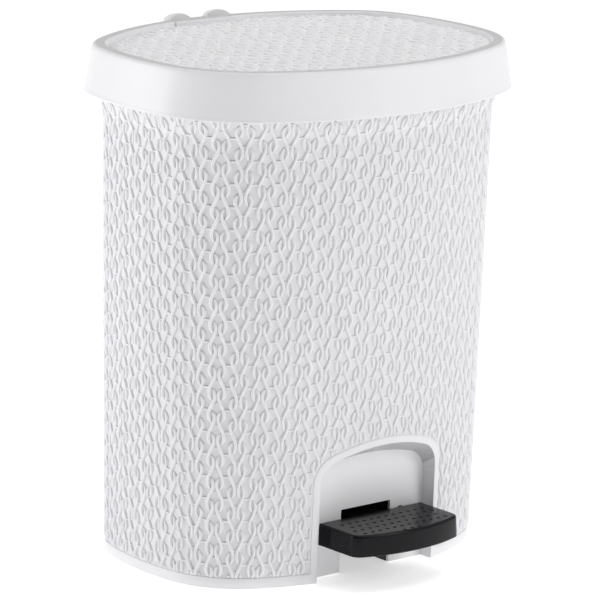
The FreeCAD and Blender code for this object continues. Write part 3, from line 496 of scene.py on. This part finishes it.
def build_wall_knit():
    rows = int((KNIT_TOP - FIRST_STITCH) / STITCH) + 3
    heights = FIRST_STITCH + STITCH * np.arange(-1, rows)
    share = REPEATS // 2
    for side, name in enumerate(("right", "left")):
        spots = (side * share + np.arange(share) + PATTERN_SHIFT) * REPEAT
        for level, chosen in (("low", heights[:rows // 2]), ("high", heights[rows // 2:])):
            flat, faces = lay_pattern(spots, chosen, wall_shows)
            make_object("knit_%s_%s" % (name, level), wall_point(flat), faces, white, "shell")


# ------------------------------------------------------------------ lid
SKIRT_Z, TOP_Z, RECESS_Z, UNDER_Z = 341.0, 375.0, 371.3, 368.8
SKIRT_SLOPE = 0.155
RIM_IN, RIM_OUT = 5.7, 12.3         # grow of the rim's flat top, inner and outer edge
LID_OUTSIDE = [                     # (height, grow) up the skirt, over the rim and down to the panel
    (SKIRT_Z, 18.9), (SKIRT_Z, 19.4), (341.15, 19.75), (341.6, 19.95), (342.3, 19.85), (343.2, 19.45),
    (344.5, 19.15), (362.0, 16.44), (370.0, 15.2), (372.2, 14.8), (373.4, 14.45), (374.2, 13.95),
    (374.75, 13.2), (TOP_Z, RIM_OUT), (TOP_Z, RIM_IN), (374.85, 5.1), (374.4, 4.65), (373.7, 4.45),
    (372.2, 4.1), (371.6, 3.9), (RECESS_Z, 3.2),
]
LID_INSIDE = [                      # (height, grow) out from the ceiling and down to the skirt's edge
    (UNDER_Z, 9.5), (368.5, 12.3), (367.6, 13.2), (366.0, 13.7), (362.0, 14.3), (SKIRT_Z, 17.6),
]
SKIRT_POINTS = 7                    # leading outside points that follow a raised bottom edge
BACK_CUT, BACK_CUT_Z = 80.0, 351.0  # the skirt is cut away at the back, half width and edge height
WINDOW, WINDOW_Z = 34.2, 358.0      # and more so over the hinge
HINGE_Y, HINGE_Z = 121.5, 352.0
BLOCK_HALF, BLOCK_FRONT, BLOCK_BACK = 30.0, 110.5, 122.5
KNUCKLE_RADIUS, KNUCKLE_HALF, KNUCKLE_PITCH = 4.5, 6.5, 20.0
WEB_FRONT, WEB_BACK, WEB_TOP = 118.0, 126.0, 373.0
HUMP_X, HUMP_Y, HUMP_Z = 18.5, 124.2, 373.0
HUMP_LENGTH, HUMP_DEPTH, HUMP_HEIGHT = 12.0, 8.5, 5.8
RIB_LOW, RIB_HIGH, RIB_LONG, RIB_SHORT = 349.5, 371.0, 5.0, 3.0
RIB_GROW, FRONT_RIB_X, SIDE_RIB_Y = 10.0, 55.0, 25.0


def skirt_edges():
    """Travel values round the lid and the bottom edge's height at each."""
    base = np.linspace(0.0, plan.length, 361)[:-1]
    half = plan.length / 2
    steps = []
    for x in (BACK_CUT, WINDOW):
        at = plan.travel_to(x, True)
        steps.extend([at, plan.length - at])
    hair = 0.02
    extra = [s + d for s in steps for d in (-hair, hair)]
    travel = np.unique(np.concatenate([base, extra]))
    beyond = np.abs(travel - half)
    cut = half - plan.travel_to(BACK_CUT, True)
    window = half - plan.travel_to(WINDOW, True)
    bottom = np.where(beyond < window, WINDOW_Z, np.where(beyond < cut, BACK_CUT_Z, SKIRT_Z))
    return travel, bottom


def build_lid():
    travel, bottom = skirt_edges()
    x, y, nx, ny = plan.at(travel)
    raised = bottom - SKIRT_Z
    rows = []
    profile = [(z, g, i < SKIRT_POINTS) for i, (z, g) in enumerate(LID_OUTSIDE)]
    inside = [(z, g, i == len(LID_INSIDE) - 1) for i, (z, g) in enumerate(LID_INSIDE)]
    for z, grow, follows in inside + profile:
        lift = raised if follows else np.zeros_like(raised)
        out = grow - SKIRT_SLOPE * lift
        rows.append(np.stack([x + nx * out, y + ny * out, z + lift], axis=1))
    points = np.concatenate(rows)
    count = len(travel)
    faces = ring_faces(len(rows), count)
    faces.append(tuple(range(count))[::-1])
    faces.append(tuple(range((len(rows) - 1) * count, len(rows) * count)))
    parts = [(points, faces)]
    block_z = (370.0, TOP_Z + 0.1)
    parts.append(soft_block((-BLOCK_HALF, BLOCK_HALF), (BLOCK_FRONT, BLOCK_BACK), block_z, 0.9))
    for step in (-1, 0, 1):
        span = (step * KNUCKLE_PITCH - KNUCKLE_HALF, step * KNUCKLE_PITCH + KNUCKLE_HALF)
        parts.append(soft_bar(KNUCKLE_RADIUS, span, (HINGE_Y, HINGE_Z)))
        parts.append(soft_block(span, (WEB_FRONT, WEB_BACK), (HINGE_Z, WEB_TOP), 0.3))
    for sign in (-1, 1):
        parts.append(hump(sign * HUMP_X, HUMP_Y, HUMP_Z, HUMP_LENGTH, HUMP_DEPTH, HUMP_HEIGHT,
                          rings=16, sides=48))
    parts.append(crank_tab())
    for x0, y0, dx, dy in bumper_ribs():
        parts.append(soft_block((x0 - dx, x0 + dx), (y0 - dy, y0 + dy), (RIB_LOW, RIB_HIGH), 0.4))
    points, faces = join_parts(parts)
    lid = make_object("lid_skin", points, faces, white, "lid", smooth_deg=40)
    # slot 1 is the rim's painted shade, slot 2 the sunk panel's painted light
    lid.data.materials.append(painted_shade_rim)
    lid.data.materials.append(painted_light_panel)
    paint_rim(lid)
    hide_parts("lid")
    return lid


def paint_rim(lid):
    """The raised rim's flat top is polished and painted darker, as painted shade on its up-facing ring; the
    sunk panel is painted brighter, as painted light against the shade among its knit.
    """
    for face in lid.data.polygons:
        x, y, z = (c / MM for c in face.center)
        grow = float(plan.outside(np.array([x]), np.array([y]))[0])
        # the rim's flat top gets the painted shade, the sunk panel the painted light
        if z > TOP_Z - 0.1 and RIM_IN - 0.2 < grow < RIM_OUT + 0.3:
            face.material_index = 1
        elif abs(z - RECESS_Z) < 0.1 and grow < 4.0:
            face.material_index = 2


def hump(x, y, z, rx, ry, rz, rings, sides):
    """An ellipsoid about x, y, z."""
    points = []
    for i in range(1, rings):
        tip = math.pi * i / rings
        for k in range(sides):
            turn = 2.0 * math.pi * k / sides
            points.append((x + rx * math.sin(tip) * math.cos(turn), y + ry * math.sin(tip) * math.sin(turn),
                           z - rz * math.cos(tip)))
    count = rings - 1
    faces = ring_faces(count, sides)
    points.append((x, y, z - rz))
    points.append((x, y, z + rz))
    for k in range(sides):
        faces.append(((k + 1) % sides, k, len(points) - 2))
        faces.append(((count - 1) * sides + k, (count - 1) * sides + (k + 1) % sides, len(points) - 1))
    return points, faces


TAB_REACH, TAB_ANGLE, TAB_ROUND, TAB_THICK, TAB_HALF = 19.6, math.radians(30.0), 3.0, 1.6, 6.0


def crank_tab():
    """The tab that the push rod lifts: an arm from the hinge with a round nose."""
    nose_y = HINGE_Y - TAB_REACH * math.cos(TAB_ANGLE)
    nose_z = HINGE_Z - TAB_REACH * math.sin(TAB_ANGLE)
    off_y, off_z = TAB_THICK * math.sin(TAB_ANGLE), TAB_THICK * math.cos(TAB_ANGLE)
    side = [(HINGE_Y - off_y, HINGE_Z + off_z), (nose_y - off_y, nose_z + off_z),
            (nose_y + off_y, nose_z - off_z), (HINGE_Y + off_y, HINGE_Z - off_z)]
    return join_parts([prism_x(side, TAB_HALF), soft_bar(TAB_ROUND, (-TAB_HALF, TAB_HALF), (nose_y, nose_z))])


def prism_x(side, half):
    """A side outline (y, z) carried from -half to half along x."""
    count = len(side)
    points = [(x, y, z) for x in (-half, half) for y, z in side]
    faces = [(k, (k + 1) % count, count + (k + 1) % count, count + k) for k in range(count)]
    faces.append(tuple(range(count))[::-1])
    faces.append(tuple(range(count, 2 * count)))
    return points, faces


def bumper_ribs():
    """Centres and half sizes (x, y, dx, dy) of the ribs that carry the bumpers."""
    front_y = FRONT_RADIUS - FRONT_REACH - math.sqrt((FRONT_RADIUS + RIB_GROW) ** 2 - FRONT_RIB_X ** 2)
    side_x = HALF_WIDTH - SIDE_RADIUS + math.sqrt((SIDE_RADIUS + RIB_GROW) ** 2 - SIDE_RIB_Y ** 2)
    spots = []
    for sign in (-1, 1):
        spots.append((sign * FRONT_RIB_X, front_y, RIB_LONG, RIB_SHORT))
        spots.append((sign * side_x, SIDE_RIB_Y, RIB_SHORT, RIB_LONG))
    return spots


LID_KNIT_GROW = 4.2                 # the knit runs up to the rim's foot


def lid_shows(x, y):
    room = LID_KNIT_GROW - plan.outside(x, y)
    block = np.maximum(np.abs(x) - BLOCK_HALF, BLOCK_FRONT - y) - 1.0
    return np.minimum(room, block) / FADE


def build_lid_knit():
    """The same knit on the lid's sunk panel, its columns running front to back."""
    spots = (np.arange(-5, 6) + PATTERN_SHIFT) * REPEAT
    stitches = np.arange(-7, 9) * STITCH
    flat, faces = lay_pattern(spots, stitches, lid_shows)
    flat[:, 2] += RECESS_Z
    # the lid's knit gets the brighter panel copy, painted light against the shade among its strands
    make_object("knit_lid", flat, faces, painted_light_panel, "lid")


# ------------------------------------------------------------------ pedal and lever
PEDAL_HALF, PEDAL_BACK, PEDAL_FRONT = 49.0, 86.5, 137.2
PEDAL_LOW, PEDAL_HIGH = 27.6, 43.4
PEDAL_BOW, PEDAL_CORNER, REAR_CORNER = 130.0, 8.0, 1.5
AXLE_Y, AXLE_Z = -10.0, 30.0
HUB_RADIUS, ARM_HALF, ARM_WALL = 9.0, 19.0, 3.0
ARM_FRONT, ARM_LOW, ARM_DECK, ARM_TOP = -104.0, 28.0, 39.0, 42.0
REAR_HALF = 9.0
REAR_SIDE = [(-6, 21.8), (93, 14), (104.8, 14), (104.8, 22), (93, 22), (-2, 37.5), (-10, 37.5)]
TRAY_RIBS_X, TRAY_RIB_HALF = (-33, 0, 33), 1.2
TRAY_RIB_Y, TRAY_RIB_Z = (-132, -89), (30.6, 41.4)


def tread_outline(grow, back_grow=0.0):
    """The pedal's plan: straight sides, round front corners and a bowed front, facing -y."""
    bow_y = PEDAL_FRONT - PEDAL_BOW
    corner_x = PEDAL_HALF - PEDAL_CORNER
    corner_y = bow_y + math.sqrt((PEDAL_BOW - PEDAL_CORNER) ** 2 - corner_x ** 2)
    tilt = math.atan2(corner_y - bow_y, corner_x)
    round_r, bow_r = PEDAL_CORNER + grow, PEDAL_BOW + grow
    back = PEDAL_BACK - back_grow
    rear = min(REAR_CORNER, REAR_CORNER + grow) if grow > -1.4 else 0.1
    right = []
    for k in range(5):
        turn = math.pi / 2 * k / 4
        right.append((PEDAL_HALF + grow - rear + rear * math.sin(turn), back + rear - rear * math.cos(turn)))
    for k in range(11):
        turn = tilt * k / 10
        right.append((corner_x + round_r * math.cos(turn), corner_y + round_r * math.sin(turn)))
    for k in range(1, 9):
        turn = tilt + (math.pi / 2 - tilt) * k / 8
        right.append((bow_r * math.cos(turn), bow_y + bow_r * math.sin(turn)))
    left = [(-x, y) for x, y in right[-2::-1]]
    return [(x, -y) for x, y in right + left]


TREAD_LEVELS = [                    # (height, grow, how far the back edge moves out)
    (PEDAL_HIGH - 3.0, -2.7, -2.6), (PEDAL_LOW + 0.4, -2.0, -1.9), (PEDAL_LOW, -1.6, -1.5),
    (PEDAL_LOW, 0.4, -0.3), (PEDAL_LOW + 0.3, 0.85, 0.0), (PEDAL_LOW + 1.0, 0.88, 0.0),
    (PEDAL_HIGH - 2.0, 0.06, 0.0), (PEDAL_HIGH - 1.1, -0.15, -0.15), (PEDAL_HIGH - 0.4, -0.65, -0.55),
    (PEDAL_HIGH - 0.05, -1.4, -1.2), (PEDAL_HIGH, -2.2, -2.0),
]
DIMPLE_ROWS, DIMPLE_PITCH, ROW_PITCH = 5, 6.93, 8.4
FIRST_ROW, ROW_SHIFT = -100.2, 1.0 / 3.0     # rows step sideways by a third of the pitch
DIMPLE_RADIUS, DIMPLE_DEPTH = 1.6, 0.9
DIMPLE_SIDE, DIMPLE_MARGIN = 41.5, 2.8


def dimple_tool():
    """Beads whose undersides press the tread's dimples, in slanting rows."""
    ball = (DIMPLE_RADIUS ** 2 + DIMPLE_DEPTH ** 2) / (2.0 * DIMPLE_DEPTH)
    parts = []
    for row in range(DIMPLE_ROWS):
        y = FIRST_ROW - ROW_PITCH * row
        for k in range(-10, 10):
            x = (k + 0.5 + ROW_SHIFT * row) * DIMPLE_PITCH
            from_bow = PEDAL_BOW - math.hypot(x, y + PEDAL_FRONT - PEDAL_BOW)
            if abs(x) < DIMPLE_SIDE and from_bow > DIMPLE_MARGIN:
                middle = PEDAL_HIGH + ball - DIMPLE_DEPTH
                parts.append(hump(x, y, middle, ball, ball, ball, rings=12, sides=16))
    return join_parts(parts)


def tread_shape():
    """The tread as its own small solid; its dimples are pressed in build_pedal."""
    rows = []
    for z, grow, back_grow in TREAD_LEVELS:
        rows.append([(x, y, z) for x, y in tread_outline(grow, back_grow)])
    count = len(rows[0])
    points = [p for row in rows for p in row]
    faces = ring_faces(len(rows), count)
    faces.append(tuple(range(count))[::-1])
    faces.append(tuple(range((len(rows) - 1) * count, len(rows) * count)))
    return points, [face[::-1] for face in faces]


def boolean_mesh(name, base, tool):
    """The base less the tool, as a new mesh."""
    things = []
    for label, (points, faces) in ((name, base), (name + "_tool", tool)):
        mesh = bpy.data.meshes.new(label)
        mesh.from_pydata((np.asarray(points, float) * MM).tolist(), [], faces)
        mesh.validate()
        shape = bmesh.new()
        shape.from_mesh(mesh)
        bmesh.ops.recalc_face_normals(shape, faces=list(shape.faces))
        shape.to_mesh(mesh)
        shape.free()
        thing = bpy.data.objects.new(label, mesh)
        bpy.context.scene.collection.objects.link(thing)
        things.append(thing)
    modifier = things[0].modifiers.new("dimples", "BOOLEAN")
    modifier.operation = "DIFFERENCE"
    modifier.solver = "EXACT"
    modifier.object = things[1]
    bpy.context.view_layer.update()
    evaluated = things[0].evaluated_get(bpy.context.evaluated_depsgraph_get())
    result = bpy.data.meshes.new_from_object(evaluated)
    for thing in things:
        bpy.data.objects.remove(thing)
    result.name = name
    return result


def build_pedal():
    tread = wrap("pedal_tread", boolean_mesh("pedal_tread", tread_shape(), dimple_tool()), black, "pedal",
                 smooth_deg=32)
    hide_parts("pedal_lever")
    full, height = (-ARM_HALF, ARM_HALF), (ARM_LOW, ARM_TOP)
    parts = [
        soft_block(full, (ARM_FRONT, AXLE_Y), (ARM_DECK, ARM_TOP), 0.5),
        soft_block(full, (ARM_FRONT, ARM_FRONT + ARM_WALL), height, 0.5),
        soft_block(full, (AXLE_Y - 12.0, AXLE_Y + 1.0), height, 0.5),
        soft_bar(HUB_RADIUS, full, (AXLE_Y, AXLE_Z), edge=0.6, sides=56),
        prism_x(REAR_SIDE, REAR_HALF),
    ]
    for sign in (-1, 1):
        cheek = sorted((sign * (ARM_HALF - ARM_WALL), sign * ARM_HALF))
        parts.append(soft_block(cheek, (ARM_FRONT, AXLE_Y), height, 0.5))
    for x in TRAY_RIBS_X:
        parts.append(soft_block((x - TRAY_RIB_HALF, x + TRAY_RIB_HALF), TRAY_RIB_Y, TRAY_RIB_Z, 0.3))
    points, faces = join_parts(parts)
    make_object("pedal_arm", points, faces, black, "pedal", smooth_deg=32)


# ------------------------------------------------------------------ CAD nodes that stay
SOFT_EDGES = {"outer_shell": 0.5, "bucket": 0.5, "base_chassis": 0.6, "bail_grip": 0.6, "push_rod": 0.2,
              "rod_cap": 0.3}


def soften(node, width_mm):
    """Small moulded radii on a CAD node's edges."""
    thing = nodes[node]
    weld = thing.modifiers.new("weld", "WELD")
    weld.merge_threshold = 0.00002
    edge = thing.modifiers.new("edge", "BEVEL")
    edge.width = width_mm * MM
    edge.segments = 2
    edge.limit_method = "ANGLE"
    edge.angle_limit = math.radians(40)
    edge.harden_normals = True


def shade_shell():
    """Painted shade and light on the shell: the sunk ground between the strands is painted a shade darker
    than its smooth bands, standing in for the shade among the strands; the matt slope over the alcove is
    painted darker still, standing in for the shade under it; and the alcove's back is painted brighter,
    offsetting the shade in the recess."""
    mesh = nodes["outer_shell"].data
    mesh.materials.append(painted_shade_ground)
    mesh.materials.append(painted_shade_slope)
    mesh.materials.append(painted_light_panel)
    centres, normals = (np.empty(len(mesh.polygons) * 3) for _ in range(2))
    mesh.polygons.foreach_get("center", centres)
    mesh.polygons.foreach_get("normal", normals)
    x, y, z = (centres.reshape(-1, 3) / MM).T
    depth = plan.outside(x, y) - np.interp(z, WALL_HEIGHTS, WALL_GROWS)
    sunk = (np.abs(depth) < 0.3) & (z > BAND_TOP) & (z < 346.5)
    # the down-facing faces over the alcove get the painted shade
    slope = (y < -80.0) & (alcove_gap(x, z) < 0.5) & (normals[2::3] < -0.3) & (z > 60.0)
    # the alcove's back gets the painted light
    alcove_back = (y < -60.0) & (alcove_gap(x, z) < -1.0) & (normals[1::3] < -0.8)
    # painted shade on the sunk ground (index 1) and the slope over the alcove (index 2), painted light on the
    # alcove's back (index 3)
    index = np.where(alcove_back, 3, np.where(slope, 2, sunk))
    mesh.polygons.foreach_set("material_index", index.astype(np.int32))
    mesh.update()


def dress_nodes():
    slots = {part["node"]: part["material_slot"] for part in frame["record"]["subparts"]}
    for name, thing in nodes.items():
        material = SLOT_MATERIALS[slots[name]]
        if thing.data.materials:
            for i in range(len(thing.data.materials)):
                thing.data.materials[i] = material
        else:
            thing.data.materials.append(material)


# ------------------------------------------------------------------ camera, lights, floor
CAMERA_AZIMUTH = math.radians(40.434)     # from the -Y axis towards -X
CAMERA_REACH, CAMERA_HEIGHT = 2.95283, 0.88029
CAMERA_AIM_OFF = math.radians(0.029)
CAMERA_PITCH, CAMERA_ROLL = math.radians(13.275), math.radians(1.564)
LENS_MM, SENSOR_MM = 249.72, 36.0
HORIZON_LIGHT, OVERHEAD_LIGHT, FLOOR_GLOW = 0.58, 0.48, 0.56
SHADE_AZIMUTH, SHADE_SHARE = math.radians(-60), 0.28      # the studio is dimmer on the pedal's left
SKYLINE = (0.03, 0.06)                    # sine of the elevations between which the skyline fades
STUDIO_MIDDLE = (0.0, 0.0, 0.18)
FLOOR_REACH = 8.0


def build_camera():
    data = bpy.data.cameras.new("camera")
    camera = bpy.data.objects.new("camera", data)
    bpy.context.scene.collection.objects.link(camera)
    data.lens = LENS_MM
    data.sensor_width = SENSOR_MM
    data.clip_start, data.clip_end = 0.1, 50.0
    yaw = CAMERA_AZIMUTH + CAMERA_AIM_OFF
    ahead = Vector((math.sin(yaw) * math.cos(CAMERA_PITCH), math.cos(yaw) * math.cos(CAMERA_PITCH),
                    -math.sin(CAMERA_PITCH)))
    right = Vector((math.cos(yaw), -math.sin(yaw), 0.0))
    up = right.cross(ahead)
    turned_right = right * math.cos(CAMERA_ROLL) + up * math.sin(CAMERA_ROLL)
    turned_up = up * math.cos(CAMERA_ROLL) - right * math.sin(CAMERA_ROLL)
    spot = Vector((-math.sin(CAMERA_AZIMUTH) * CAMERA_REACH, -math.cos(CAMERA_AZIMUTH) * CAMERA_REACH,
                   CAMERA_HEIGHT))
    columns = Matrix((turned_right, turned_up, -ahead)).transposed().to_4x4()
    camera.matrix_world = Matrix.Translation(spot) @ columns
    bpy.context.scene.camera = camera


def area_light(name, place, size, power):
    """A rectangular light aimed at the middle of the object."""
    data = bpy.data.lights.new(name, "AREA")
    data.shape = "RECTANGLE"
    data.size, data.size_y = size
    data.energy = power
    light = bpy.data.objects.new(name, data)
    bpy.context.scene.collection.objects.link(light)
    light.location = place
    light.rotation_mode = "QUATERNION"
    light.rotation_quaternion = (Vector(STUDIO_MIDDLE) - Vector(place)).to_track_quat("-Z", "Y")


def map_range(tree, value, source, target):
    node = tree.nodes.new("ShaderNodeMapRange")
    node.interpolation_type = "SMOOTHSTEP"
    node.inputs["From Min"].default_value, node.inputs["From Max"].default_value = source
    node.inputs["To Min"].default_value, node.inputs["To Max"].default_value = target
    tree.links.new(value, node.inputs["Value"])
    return node.outputs["Result"]


def studio_world():
    """A white studio: bright round the horizon, dimmer overhead and on one side, with a thin white skyline
    that meets the white floor."""
    world = bpy.data.worlds.new("studio")
    world.use_nodes = True
    tree = world.node_tree
    place = tree.nodes.new("ShaderNodeTexCoord")
    split = tree.nodes.new("ShaderNodeSeparateXYZ")
    tree.links.new(place.outputs["Generated"], split.inputs["Vector"])
    aside = tree.nodes.new("ShaderNodeVectorMath")
    aside.operation = "DOT_PRODUCT"
    aside.inputs[1].default_value = (math.sin(SHADE_AZIMUTH), -math.cos(SHADE_AZIMUTH), 0.0)
    tree.links.new(place.outputs["Generated"], aside.inputs[0])
    strength = tree.nodes.new("ShaderNodeMath")
    strength.operation = "MULTIPLY"
    upward = map_range(tree, split.outputs["Z"], (0.05, 0.55), (HORIZON_LIGHT, OVERHEAD_LIGHT))
    sideways = map_range(tree, aside.outputs["Value"], (0.1, 0.9), (1.0, SHADE_SHARE))
    tree.links.new(upward, strength.inputs[0])
    tree.links.new(sideways, strength.inputs[1])
    skyline = tree.nodes.new("ShaderNodeMath")
    skyline.operation = "MAXIMUM"
    tree.links.new(strength.outputs["Value"], skyline.inputs[0])
    tree.links.new(map_range(tree, split.outputs["Z"], SKYLINE, (1.0, 0.0)), skyline.inputs[1])
    tree.links.new(skyline.outputs["Value"], tree.nodes["Background"].inputs["Strength"])
    tree.nodes["Background"].inputs["Color"].default_value = (1.0, 1.0, 1.0, 1.0)
    return world


def polar(azimuth, elevation, reach):
    """A place round the object; azimuth 0 is in front of the pedal and 90 to its right, in degrees."""
    a, e = math.radians(azimuth), math.radians(elevation)
    return (reach * math.sin(a) * math.cos(e), -reach * math.cos(a) * math.cos(e),
            STUDIO_MIDDLE[2] + reach * math.sin(e))


def build_stage():
    bpy.context.scene.world = studio_world()
    bpy.context.scene.view_settings.view_transform = "Standard"
    area_light("key", polar(26, 30, 2.6), (1.0, 1.0), 16.5)
    area_light("rim", polar(-128, 14, 2.6), (1.2, 1.4), 27.0)
    area_light("top", polar(60, 80, 2.2), (1.6, 1.6), 16.0)
    mesh = bpy.data.meshes.new("floor")
    corners = [(x * FLOOR_REACH, y * FLOOR_REACH, 0) for x, y in ((-1, -1), (1, -1), (1, 1), (-1, 1))]
    mesh.from_pydata(corners, [], [(0, 1, 2, 3)])
    floor = bpy.data.objects.new("floor", mesh)
    bpy.context.scene.collection.objects.link(floor)
    paper = moulded("floor_paper", (0.93, 0.93, 0.93), 0.8, shade=0.003, gloss=0.2)
    shader = paper.node_tree.nodes["Principled BSDF"]
    shader.inputs["Emission Color"].default_value = (1.0, 1.0, 1.0, 1.0)
    shader.inputs["Emission Strength"].default_value = FLOOR_GLOW
    mesh.materials.append(paper)


# ------------------------------------------------------------------ build
dress_nodes()
shade_shell()
for soft_node, edge_mm in SOFT_EDGES.items():
    soften(soft_node, edge_mm)
build_wall_knit()
build_lid()
build_lid_knit()
build_pedal()
build_camera()
build_stage()

bpy.context.view_layer.update()
